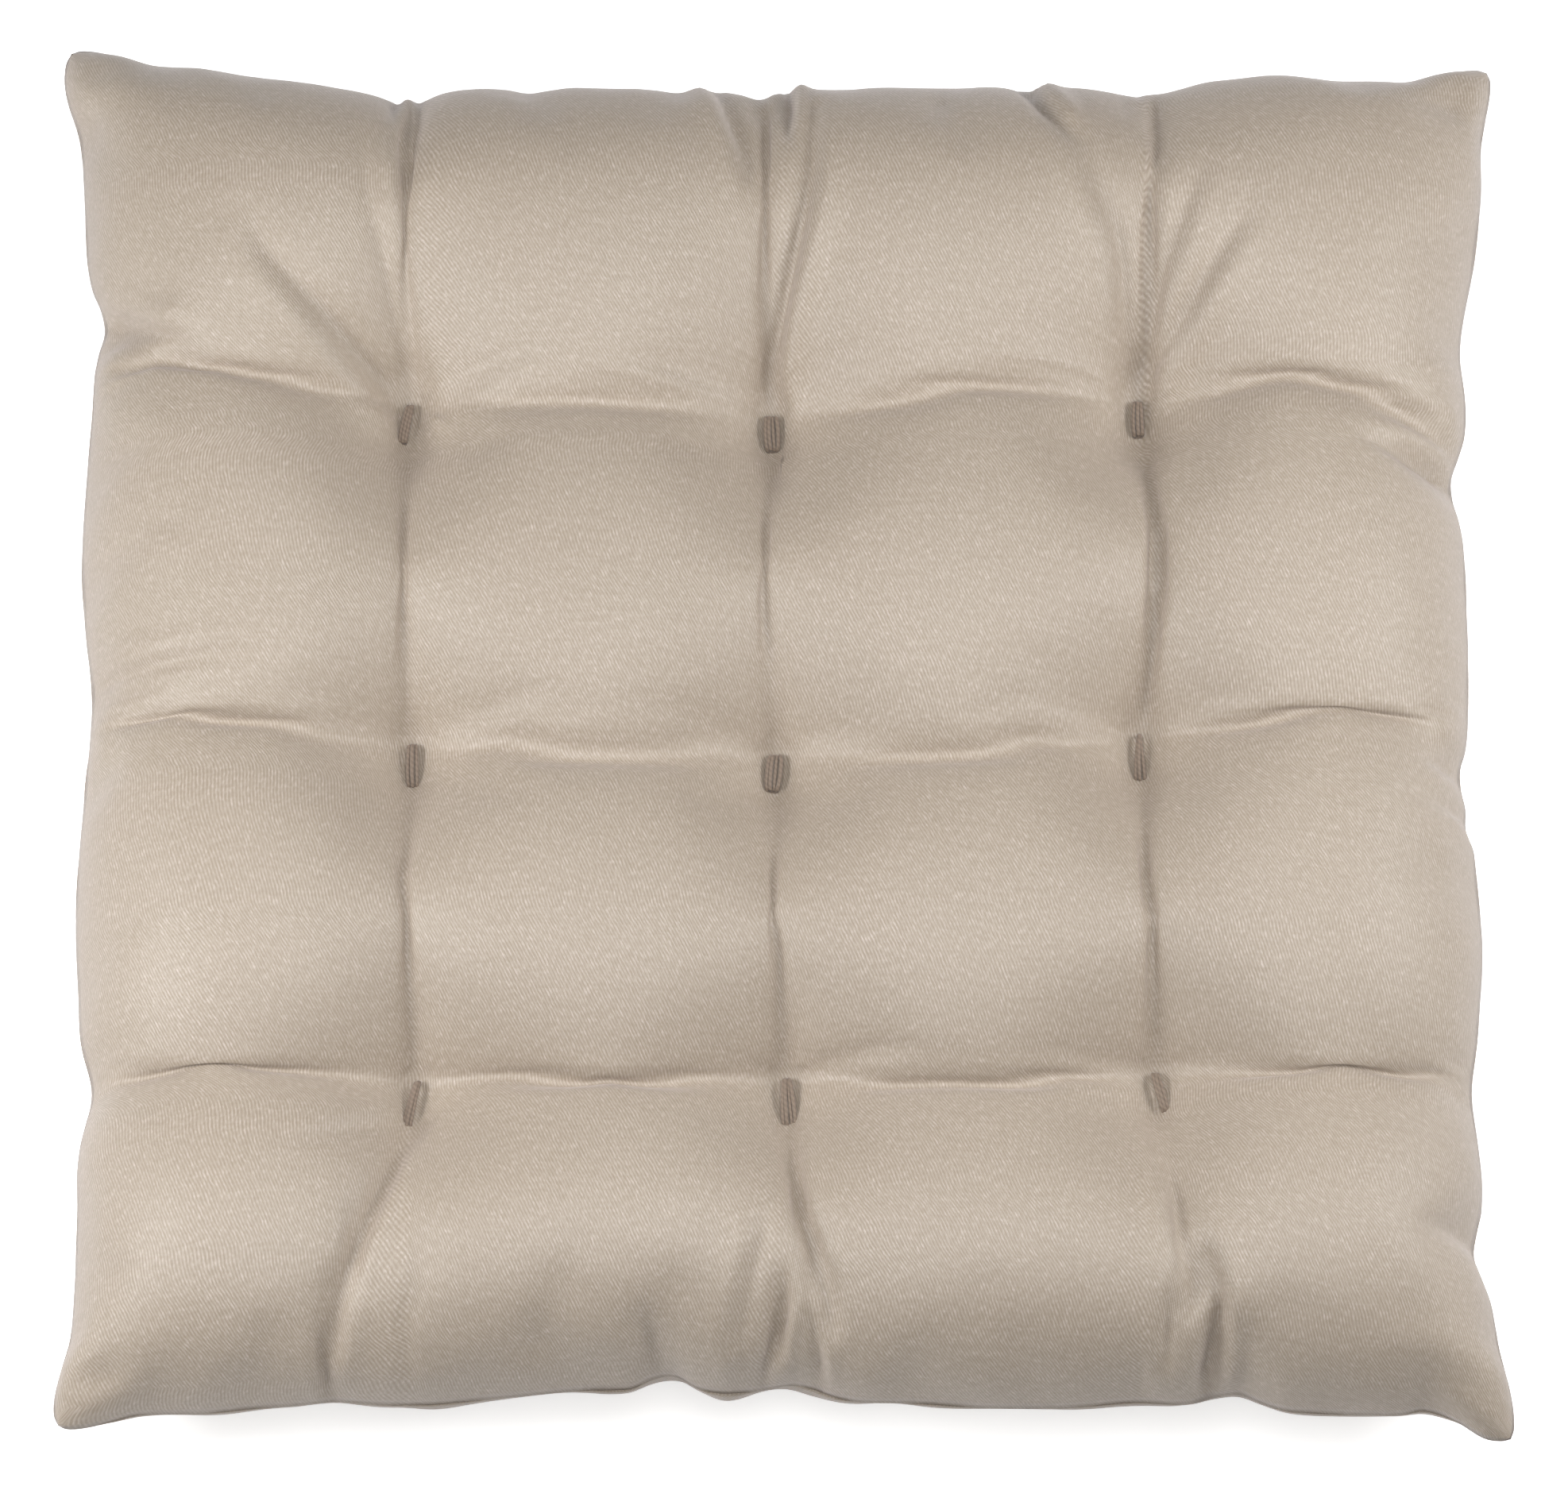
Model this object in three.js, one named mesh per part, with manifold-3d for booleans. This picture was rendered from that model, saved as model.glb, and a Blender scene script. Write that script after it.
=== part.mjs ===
// Square knife-edge chair seat pad, tufted at nine points. Millimetres, +Z up, +Y to the rear.
// The origin is on the underside, below the middle of the pad.
//
// Two twill panels are sewn together right sides facing, turned out and stuffed with one mass of
// polyester fibre. Each panel keeps a seam allowance that is folded in between the panel and the
// filling. Nine threads go right through the pad and pull it together.

import * as THREE from 'three';
import { mergeVertices } from 'three/addons/utils/BufferGeometryUtils.js';
import Module from 'manifold-3d';

// Plan of the pad
const EAR_HALF = 202.5;      // centre to where the sides would meet if the ear were not rounded
const MID_HALF = 192;        // centre to the seam at the middle of a side
const EAR_POWER = 4;         // how late along a side the ear begins
const CORNER_ROUND = 0.075;  // corner radius as a share of the half width

// Heights above the surface that the pad lies on
const SEAM_Z = 32;
const CROWN_Z = 73;          // the top if no tuft pulled it down
const SAG = 6;               // how far the underside would hang below the floor
const TUFT_TOP_Z = 27.5;
const TUFT_BOTTOM_Z = 14;
const WALL_REACH = 60;       // distance from the seam over which the side wall curves up
const TOP_PULL_REACH = 21;   // how far a tuft's dimple spreads
const BOTTOM_PULL_REACH = 9;

// Cloth
const CLOTH = 0.8;
const GAP = 0.3;             // clearance between neighbouring pieces
const ALLOWANCE = 10;        // seam allowance turned in

// Tufts: a bar of thread on each face, with a leg down through the pad at each end
const PITCH = 101;
const BAR_LENGTH = 12;
const BUNDLE_WIDE = 3.0;
const BUNDLE_THICK = 1.4;
const FLAT_ROUND_BAR = 5.2;  // cloth held flat round a bar
const LEG_SIDES = 6;

// Seam threads
const THREAD_RADIUS = 0.3;
const THREAD_SIDES = 4;
const CLOSING_FROM = -107;   // the filling opening, sewn shut by hand along the front seam
const CLOSING_TO = 67;

const TUFT_ROWS = [['rear', PITCH], ['middle', 0], ['front', -PITCH]];
const TUFT_COLUMNS = [['left', -PITCH], ['centre', 0], ['right', PITCH]];

const COLOURS = {
  twill: 0xc3b7a8,
  fibre: 0xf1efe9,
  tuft: 0x82705f,
  seam: 0xbdb09f,
};

// ---------------------------------------------------------------------------------- the grid

// Grid lines stand close together beside the tufts and at the walls, and further apart between.
const NEAR_TUFT = [-28, -13, -4, 4, 13, 28];
const WALL_LINES = [0, 5, 17, 38];

function gridLines() {
  const lines = [-PITCH / 2, PITCH / 2];
  for (const [, centre] of TUFT_COLUMNS) {
    for (const offset of NEAR_TUFT) lines.push(centre + offset);
  }
  for (const inset of WALL_LINES) lines.push(MID_HALF - inset, inset - MID_HALF);
  return lines.sort((a, b) => a - b).map((line) => line / MID_HALF);
}

// A bar runs forwards from its tuft point, so these lines stand round the middle of the bar, and
// a little further apart.
function rowLines() {
  const stretch = BAR_LENGTH / 4;
  const lines = [-PITCH / 2, PITCH / 2].map((line) => line - BAR_LENGTH / 2);
  for (const [, centre] of TUFT_ROWS) {
    const middle = centre - BAR_LENGTH / 2;
    for (const offset of NEAR_TUFT) lines.push(middle + offset + Math.sign(offset) * stretch);
  }
  for (const inset of WALL_LINES) lines.push(MID_HALF - inset, inset - MID_HALF);
  return lines.sort((a, b) => a - b).map((line) => line / MID_HALF);
}

const US = gridLines();
const VS = rowLines();

// ------------------------------------------------------------------------- shape of the pad

// How far a ray at this slope reaches before it meets a square with rounded corners.
function roundedReach(slope) {
  const core = 1 - CORNER_ROUND;
  if (slope < core) return 1;
  const sum = core * (1 + slope);
  const square = 1 + slope * slope;
  const inside = sum * sum - square * (2 * core * core - CORNER_ROUND * CORNER_ROUND);
  return (sum + Math.sqrt(Math.max(0, inside))) / square;
}

// Position in plan of the point (u, v) of the square from -1 to 1.
function plan(u, v) {
  const spread = (a) => MID_HALF + (EAR_HALF - MID_HALF) * Math.abs(a) ** EAR_POWER;
  const longer = Math.max(Math.abs(u), Math.abs(v));
  const shorter = Math.min(Math.abs(u), Math.abs(v));
  const reach = 1 + (roundedReach(longer ? shorter / longer : 0) - 1) * longer ** 6;
  return [u * spread(v) * reach, v * spread(u) * reach];
}

// Each tuft's rear leg stands at a point of the plan, so it moves with the cloth round it.
const TUFTS = TUFT_ROWS.flatMap(([row, y]) => TUFT_COLUMNS.map(([column, x]) => {
  const [px, py] = plan(x / MID_HALF, y / MID_HALF);
  return { name: `tuft_thread_${row}_${column}`, x: px, y: py };
}));

// 0 at the seam, 1 where the side wall has finished curving.
function wallRise(u, v) {
  let rise = 1;
  for (const a of [u, v]) {
    const left = 1 - Math.min(1, (1 - Math.abs(a)) * MID_HALF / WALL_REACH);
    rise *= Math.sqrt(Math.max(0, 1 - left * left));
  }
  return rise;
}

// The seam threads lie in the narrow fold between a wall and the allowance under it, so how far
// in they lie depends on how steeply the flatter of the two walls leaves the seam.
const SEAM_THREAD_HEIGHT = CLOTH + 2 * GAP + 2 * THREAD_RADIUS;
const WALL_FOOT = WALL_LINES[1];
const WALL_SLOPE = Math.min(CROWN_Z - SEAM_Z, SEAM_Z + SAG)
  * wallRise(1 - WALL_FOOT / MID_HALF, 0) / WALL_FOOT;
const SEAM_THREAD_INSET = SEAM_THREAD_HEIGHT / WALL_SLOPE
  + CLOTH * Math.hypot(1, 1 / WALL_SLOPE) + 2 * GAP + THREAD_RADIUS;
const LIP_INSET = SEAM_THREAD_INSET + THREAD_RADIUS + 2 * GAP;

// 1 on a tuft's bar, falling to 0 away from all of them.
function tuftPull(x, y, reach) {
  let free = 1;
  for (const tuft of TUFTS) {
    const along = THREE.MathUtils.clamp(tuft.y - y, 0, BAR_LENGTH);
    const away = Math.hypot(x - tuft.x, y - (tuft.y - along));
    free *= 1 - Math.exp(-Math.max(0, away - FLAT_ROUND_BAR) / reach);
  }
  return 1 - free;
}

function topPoint(u, v) {
  const [x, y] = plan(u, v);
  const pulled = (CROWN_Z - TUFT_TOP_Z) * tuftPull(x, y, TOP_PULL_REACH);
  const z = SEAM_Z + GAP / 2 + wallRise(u, v) * (CROWN_Z - SEAM_Z - pulled);
  return new THREE.Vector3(x, y, z);
}

// The underside hangs the same way, and is flattened where it meets the seat.
function bottomPoint(u, v) {
  const [x, y] = plan(u, v);
  const pulled = (TUFT_BOTTOM_Z + SAG) * tuftPull(x, y, BOTTOM_PULL_REACH);
  const z = SEAM_Z - GAP / 2 - wallRise(u, v) * (SEAM_Z + SAG - pulled);
  return new THREE.Vector3(x, y, Math.max(0, z));
}

// ------------------------------------------------------------------------ building surfaces

// Points of one face of the pad, moved along the face's own normal by `depth`, into the pad.
function facePoints(pointAt, side, depth) {
  const rows = VS.map((v) => US.map((u) => pointAt(u, v)));
  const last = [VS.length - 1, US.length - 1];
  return rows.map((row, j) => row.map((point, i) => {
    const x0 = row[Math.max(0, i - 1)];
    const x1 = row[Math.min(last[1], i + 1)];
    const y0 = rows[Math.max(0, j - 1)][i];
    const y1 = rows[Math.min(last[0], j + 1)][i];
    const normal = x1.clone().sub(x0).cross(y1.clone().sub(y0)).normalize();
    return point.clone().addScaledVector(normal, -side * depth);
  }));
}

// The grid's rim as a list of [row, column], once round, anticlockwise seen from above.
function rimCells() {
  const cells = [];
  const right = US.length - 1;
  const rear = VS.length - 1;
  for (let i = 0; i < right; i += 1) cells.push([0, i]);
  for (let j = 0; j < rear; j += 1) cells.push([j, right]);
  for (let i = right; i > 0; i -= 1) cells.push([rear, i]);
  for (let j = rear; j > 0; j -= 1) cells.push([j, 0]);
  return cells;
}

const RIM = rimCells();

// The seam line, drawn in towards the middle by `inset`, at height z.
function rimAt(inset, z) {
  return RIM.map(([j, i]) => {
    const [x, y] = plan(US[i], VS[j]);
    const scale = 1 - inset / MID_HALF;
    return new THREE.Vector3(x * scale, y * scale, z);
  });
}

// Collects points and four-sided faces, and gives back one closed surface that faces outwards.
class Skin {
  constructor() {
    this.points = [];
    this.triangles = [];
  }

  add(points) {
    const first = this.points.length;
    this.points.push(...points);
    return points.map((_, k) => first + k);
  }

  quad(a, b, c, d) {
    this.triangles.push(a, b, c, a, c, d);
  }

  // One face of the pad, whose rim takes the given points. Returns the rim's indices.
  face(rows, rim, side) {
    RIM.forEach(([j, i], k) => { rows[j][i] = rim[k]; });
    const index = rows.map((row) => this.add(row));
    for (let j = 0; j + 1 < VS.length; j += 1) {
      for (let i = 0; i + 1 < US.length; i += 1) {
        const [a, b, c, d] = [
          index[j][i], index[j][i + 1], index[j + 1][i + 1], index[j + 1][i]];
        if (side > 0) this.quad(a, b, c, d);
        else this.quad(a, d, c, b);
      }
    }
    return RIM.map(([j, i]) => index[j][i]);
  }

  // Joins two closed rings of the same length.
  band(lower, upper) {
    lower.forEach((a, k) => {
      const next = (k + 1) % lower.length;
      this.quad(a, lower[next], upper[next], upper[k]);
    });
  }

  geometry() {
    let volume = 0;
    for (let t = 0; t < this.triangles.length; t += 3) {
      const [a, b, c] = this.triangles.slice(t, t + 3).map((k) => this.points[k]);
      volume += a.dot(b.clone().cross(c));
    }
    if (volume < 0) this.triangles.reverse();
    const geometry = new THREE.BufferGeometry();
    geometry.setAttribute('position', new THREE.Float32BufferAttribute(
      this.points.flatMap((p) => p.toArray()), 3));
    geometry.setIndex(this.triangles);
    return geometry;
  }
}

// ------------------------------------------------------------------------------ the cutters

const wasm = await Module();
wasm.setup();

function toManifold(geometry) {
  const plain = geometry.clone();
  plain.deleteAttribute('normal');
  plain.deleteAttribute('uv');
  const merged = mergeVertices(plain, 1e-4);
  return new wasm.Manifold(new wasm.Mesh({
    numProp: 3,
    vertProperties: new Float32Array(merged.attributes.position.array),
    triVerts: new Uint32Array(merged.index.array),
  }));
}

function fromManifold(solid) {
  const mesh = solid.getMesh();
  const geometry = new THREE.BufferGeometry();
  geometry.setAttribute('position', new THREE.Float32BufferAttribute(mesh.vertProperties, 3));
  geometry.setIndex(new THREE.Uint32BufferAttribute(mesh.triVerts, 1));
  return geometry;
}

// The holes that the tufting needle made: one for each leg of each thread.
function withNeedleHoles(geometry) {
  let solid = toManifold(geometry);
  const half = CROWN_Z;
  for (const tuft of TUFTS) {
    for (const y of [tuft.y, tuft.y - BAR_LENGTH]) {
      const hole = new THREE.CylinderGeometry(1, 1, 2 * half, LEG_SIDES);
      hole.rotateX(Math.PI / 2);
      hole.scale(BUNDLE_WIDE / 2 + GAP + 0.15, BUNDLE_THICK / 2 + GAP + 0.15, 1);
      hole.translate(tuft.x, y, SEAM_Z);
      solid = solid.subtract(toManifold(hole));
    }
  }
  return fromManifold(solid);
}

// --------------------------------------------------------------------------------- panels

// side is 1 for the top panel and -1 for the bottom one.
function panel(side) {
  const pointAt = side > 0 ? topPoint : bottomPoint;
  const foldZ = SEAM_Z + side * GAP / 2;
  const innerZ = foldZ + side * CLOTH;
  const skin = new Skin();
  const outer = skin.face(facePoints(pointAt, side, 0), rimAt(0, foldZ), side);
  const inner = skin.face(facePoints(pointAt, side, CLOTH), rimAt(CLOTH, innerZ), -side);
  const endOutside = skin.add(rimAt(ALLOWANCE, foldZ));
  const endInside = skin.add(rimAt(ALLOWANCE, innerZ));
  const bands = [[outer, endOutside], [endOutside, endInside], [endInside, inner]];
  for (const [a, b] of bands) {
    if (side > 0) skin.band(b, a);
    else skin.band(a, b);
  }
  return withNeedleHoles(skin.geometry());
}

// -------------------------------------------------------------------------------- filling

function filling() {
  const depth = CLOTH + GAP;
  const lipZ = GAP / 2 + CLOTH + GAP;
  const grooveInset = ALLOWANCE + 4 * THREAD_RADIUS + 2 * GAP;
  const skin = new Skin();
  const top = skin.face(facePoints(topPoint, 1, depth), rimAt(LIP_INSET, SEAM_Z + lipZ), 1);
  const grooveTop = skin.add(rimAt(grooveInset, SEAM_Z + lipZ));
  const grooveBottom = skin.add(rimAt(grooveInset, SEAM_Z - lipZ));
  const bottom = skin.face(
    facePoints(bottomPoint, -1, depth), rimAt(LIP_INSET, SEAM_Z - lipZ), -1);
  skin.band(grooveTop, top);
  skin.band(grooveBottom, grooveTop);
  skin.band(bottom, grooveBottom);
  return withNeedleHoles(skin.geometry());
}

// -------------------------------------------------------------------------------- threads

// Sweeps an oval round a path. `across` is the oval's wide direction.
function thread(path, closed, across, wide, thick, sides) {
  const skin = new Skin();
  const rings = path.map((point, k) => {
    const before = path[closed ? (k + path.length - 1) % path.length : Math.max(0, k - 1)];
    const after = path[closed ? (k + 1) % path.length : Math.min(path.length - 1, k + 1)];
    const forward = after.clone().sub(before).normalize();
    const up = across.clone().cross(forward).normalize();
    const aside = forward.clone().cross(up).normalize();
    const ring = [];
    for (let s = 0; s < sides; s += 1) {
      const angle = 2 * Math.PI * s / sides;
      ring.push(point.clone()
        .addScaledVector(aside, wide / 2 * Math.cos(angle))
        .addScaledVector(up, thick / 2 * Math.sin(angle)));
    }
    return skin.add(ring);
  });
  const joints = closed ? rings.length : rings.length - 1;
  for (let k = 0; k < joints; k += 1) skin.band(rings[k], rings[(k + 1) % rings.length]);
  if (!closed) {
    for (const [ring, turned] of [[rings[0], true], [rings.at(-1), false]]) {
      const fan = turned ? [...ring].reverse() : ring;
      for (let s = 1; s + 1 < sides; s += 1) skin.triangles.push(fan[0], fan[s], fan[s + 1]);
    }
  }
  return skin.geometry();
}

// A closed loop: a bar over the top panel, a bar under the bottom panel and a leg at each end.
function tuftThread(tuft) {
  const rise = GAP + BUNDLE_THICK / 2;
  const topZ = TUFT_TOP_Z + GAP / 2 + rise;
  const bottomZ = TUFT_BOTTOM_Z - GAP / 2 - rise;
  const turn = 1.2;
  const back = tuft.y;
  const front = tuft.y - BAR_LENGTH;
  const corners = [
    [back, bottomZ + turn], [back, topZ - turn], [back - turn, topZ],
    [front + turn, topZ], [front, topZ - turn], [front, bottomZ + turn],
    [front + turn, bottomZ], [back - turn, bottomZ],
  ];
  const path = corners.map(([y, z]) => new THREE.Vector3(tuft.x, y, z));
  return thread(path, true, new THREE.Vector3(1, 0, 0), BUNDLE_WIDE, BUNDLE_THICK, LEG_SIDES);
}

function ringThread(inset, z, radius) {
  const up = new THREE.Vector3(0, 0, 1);
  return thread(rimAt(inset, z), true, up, 2 * radius, 2 * radius, THREAD_SIDES);
}

// Lies along the ridge of the front seam, over the opening that the pad was filled through.
function closingThread() {
  const rise = THREAD_RADIUS + GAP;
  const path = [];
  for (const u of US) {
    const [x, y] = plan(u, -1);
    if (x > CLOSING_FROM && x < CLOSING_TO) path.push(new THREE.Vector3(x, y - rise, SEAM_Z));
  }
  const size = 2 * THREAD_RADIUS;
  return thread(path, false, new THREE.Vector3(0, 0, 1), size, size, THREAD_SIDES);
}

// -------------------------------------------------------------------------------- assembly

const group = new THREE.Group();
group.name = 'chair_seat_pad';

function addNode(name, geometry, colour) {
  geometry.computeVertexNormals();
  const material = new THREE.MeshStandardMaterial({ color: colour, roughness: 0.85 });
  const mesh = new THREE.Mesh(geometry, material);
  mesh.name = name;
  group.add(mesh);
}

const seamThreadZ = GAP / 2 + CLOTH + GAP + THREAD_RADIUS;

addNode('top_panel', panel(1), COLOURS.twill);
addNode('bottom_panel', panel(-1), COLOURS.twill);
addNode('fibre_filling', filling(), COLOURS.fibre);
for (const tuft of TUFTS) addNode(tuft.name, tuftThread(tuft), COLOURS.tuft);
addNode('seam_needle_thread',
  ringThread(SEAM_THREAD_INSET, SEAM_Z + seamThreadZ, THREAD_RADIUS), COLOURS.seam);
addNode('seam_bobbin_thread',
  ringThread(SEAM_THREAD_INSET, SEAM_Z - seamThreadZ, THREAD_RADIUS), COLOURS.seam);
addNode('overlock_thread',
  ringThread(ALLOWANCE + GAP + THREAD_RADIUS, SEAM_Z, THREAD_RADIUS), COLOURS.seam);
addNode('closing_seam_thread', closingThread(), COLOURS.seam);

export default group;
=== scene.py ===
"""A square tufted chair seat pad in sateen twill, for Blender 4.5. Metres, +Z up, +Y to the rear.

Both panels are simulated as one pillow of cloth under pressure, held at the seam and at nine
tufts. Folds, creases and seam puckers are then laid in along given guides. Where a number
is the half width of a bump, the bump has fallen to 37% there.
"""
import math

import bpy
import numpy as np
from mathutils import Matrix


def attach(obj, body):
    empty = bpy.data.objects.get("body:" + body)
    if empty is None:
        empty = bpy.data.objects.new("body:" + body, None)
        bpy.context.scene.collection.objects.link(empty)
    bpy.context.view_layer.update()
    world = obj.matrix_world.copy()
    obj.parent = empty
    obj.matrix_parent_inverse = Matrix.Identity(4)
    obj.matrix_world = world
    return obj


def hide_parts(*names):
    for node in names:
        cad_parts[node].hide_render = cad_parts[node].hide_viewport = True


# ------------------------------------------------------------------------------------ sizes

HALF_X = 0.1945         # centre to the seam at the middle of the left and right sides
HALF_Y = 0.1945         # the same for the front and rear sides
SEAM_Z = 0.032
CROWN_Z = 0.0665        # of the puffs before the pad is blown up
TUFT_TOP_Z = 0.0430     # of the cloth under a tuft's bar on top
VALLEY_REACH = 0.050    # from the bottom of a valley to the crown beside it
VALLEY_POWER = 2.6      # the higher it is, the narrower the bottom of the valley
TUFT_BOTTOM_Z = 0.014   # of the cloth over a tuft's bar below
UNDERSIDE_DROP = 0.033  # from the seam to the underside before the pad is blown up
WALL_REACH = 0.050      # from the seam to where the side wall has finished curving
CORNER_SHARE = 0.034    # radius of the four corners, as a share of half a side
BAR_LENGTH = 0.012      # of the stitch that shows on each face
TOP_PULL_REACH = 0.010  # over which a tuft's hollow fades before the pad is blown up
BOTTOM_PULL_REACH = 0.009
CELLS = 77              # cloth cells along one side while it is simulated
FINE = 4                # each is divided this many times before the creases go in
VALLEY_LINES = (-0.52, 0, 0.52)     # where the cells are crowded together, from -1 to 1
VALLEY_CROWDING = (1.9, 0.035)      # how much there, and over what half width
SEAM_CROWDING = (0.5, 0.04)         # the same beside the seam
FRAMES = 25             # of simulation
PRESSURE = 200.0
HELD_RADIUS = 0.0026    # round each bar, where the simulation holds the cloth
RELAX_RADIUS = 0.003    # round each bar, where smoothing leaves the cloth
DEEPEST_FOLD = 0.0070   # that overlapping folds can add up to
CREASE_WIDTH = 0.0022   # of the creases along the bottoms of the valleys
FOLD_FLOOR = 0.0007     # half the width of a fold's rounded bottom
SEAM_CLEAR = 0.004      # from the seam to where folds have their whole depth
BAR_CLEAR = 0.006       # the same from a bar, as a half width
SHADED_FROM = 0.0014      # depth of fold at which painted shade starts to darken the cloth
SHADED_SPAN = 0.0040      # further depth to where the painted shade is at its darkest
FLAT_BELOW = 0.0012     # height below which the underside presses flat on the seat
FLAT_SOFTNESS = 0.002   # of the bend where it starts to
GATHER = 0.00022        # height of the small waves beside the seam
CLOSING_GATHER = 0.00055            # what the closing stitches add to them
GATHER_AT = 0.0035      # from the seam to the highest part of the waves, and their half width
TUCK = 0.0011           # how far the seam itself is drawn in
TUCK_REACH = 0.0013
TUFT_PULL = 0.0026      # how far each bar pulls the cloth down beyond its surroundings
TUFT_REACH = 0.0070     # over which that pull fades
SKIN = 0.0018           # from the cloth's outside to the filling
FILLING_INSET = 0.0125  # from the seam to the edge of the filling
FILLING_LIP = 0.0004    # half the thickness of the filling at its edge
FILLING_DIMPLE = 0.004  # how much deeper the filling is drawn in under a bar
FILLING_DIMPLE_WIDTH = 0.007        # half width of that
LOCKSTITCH_INSET = 0.0035           # from the seam's ridge inwards
OVERLOCK_INSET = 0.0108
LOCKSTITCH_RISE = 0.0009            # of each of its two threads from the seam's plane
ALLOWANCE_RINGS = (0.003, 0.010)    # from the seam inwards, to the raw edge
FULLNESS = -0.035       # how much the cloth is cut larger than the start shape, as negative shrink

# Where each tuft pulls the cloth down: name, x, y
TUFTS = [
    ("rear_left", -0.1022, 0.0941),
    ("rear_centre", -0.0016, 0.0906),
    ("rear_right", 0.1006, 0.0953),
    ("middle_left", -0.1009, -0.0065),
    ("middle_centre", -0.0004, -0.0098),
    ("middle_right", 0.1003, -0.0035),
    ("front_left", -0.0985, -0.1048),
    ("front_centre", 0.0027, -0.1041),
    ("front_right", 0.1038, -0.1025),
]

# How far each corner ear reaches beyond the sides: (left or right, front or rear): (x, y)
EARS = {(-1, 1): (0.0030, 0.0090), (1, 1): (0.0060, 0.0050),
        (-1, -1): (0.0015, 0.0050), (1, -1): (0.0050, 0.0080)}

# How far the stiff point of each ear reaches beyond that
NUBS = {(-1, 1): (0.0040, 0.0032), (1, 1): (0.0022, 0.0026),
        (-1, -1): (0.0032, 0.0034), (1, -1): (0.0034, 0.0042)}

# Where the seam is drawn in, or let out if the depth is negative: position along the side, depth,
# half width
NOTCHES = {
    "left": [
        (0.000, 0.0014, 0.1400), (0.1215, 0.0036, 0.0080), (0.108, 0.0014, 0.0200),
        (0.008, 0.0018, 0.0180), (-0.105, 0.0040, 0.0120), (0.150, -0.0010, 0.0140),
        (0.052, -0.0016, 0.0240), (-0.050, -0.0016, 0.0220), (-0.150, 0.0012, 0.0300),
        (0.178, -0.0020, 0.0160),
    ],
    "right": [
        (0.030, 0.0010, 0.0400), (0.140, -0.0014, 0.0500), (0.116, 0.0030, 0.0160),
        (0.0745, 0.0036, 0.0100), (0.070, 0.0016, 0.0250), (-0.013, 0.0022, 0.0060),
        (-0.013, 0.0018, 0.0200), (-0.026, 0.0018, 0.0040), (-0.105, 0.0022, 0.0140),
        (-0.149, 0.0034, 0.0080), (0.160, -0.0020, 0.0200), (-0.062, -0.0014, 0.0200),
        (-0.172, -0.0016, 0.0140),
    ],
    "front": [
        (-0.100, -0.0012, 0.0500), (0.110, -0.0014, 0.0600), (-0.030, 0.0060, 0.0075),
        (-0.055, 0.0036, 0.0260), (0.005, 0.0036, 0.0080), (-0.008, 0.0022, 0.0200),
        (0.124, 0.0042, 0.0080), (0.100, 0.0012, 0.0120), (-0.120, 0.0012, 0.0100),
        (0.177, 0.0030, 0.0050), (-0.160, -0.0020, 0.0200), (0.062, -0.0012, 0.0200),
        (0.150, -0.0014, 0.0180),
    ],
    "rear": [
        (-0.140, -0.0014, 0.0500), (-0.105, 0.0046, 0.0130), (-0.125, 0.0014, 0.0120),
        (-0.068, 0.0014, 0.0060), (-0.006, 0.0036, 0.0060), (-0.030, 0.0010, 0.0060),
        (0.102, 0.0026, 0.0100), (0.050, -0.0008, 0.0200), (-0.168, -0.0030, 0.0260),
        (0.140, -0.0030, 0.0200),
    ],
}

# Guide lines from the front tufts down to the front seam
FRONT_LEFT = [(-.1005, -.118), (-.105, -.134), (-.112, -.153), (-.118, -.171), (-.121, -.185)]
FRONT_CENTRE = [(.0035, -.117), (.0046, -.134), (.0080, -.152), (.0124, -.165), (.0150, -.179)]
FRONT_RIGHT = [(.1055, -.115), (.108, -.137), (.111, -.156), (.114, -.174)]

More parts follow.
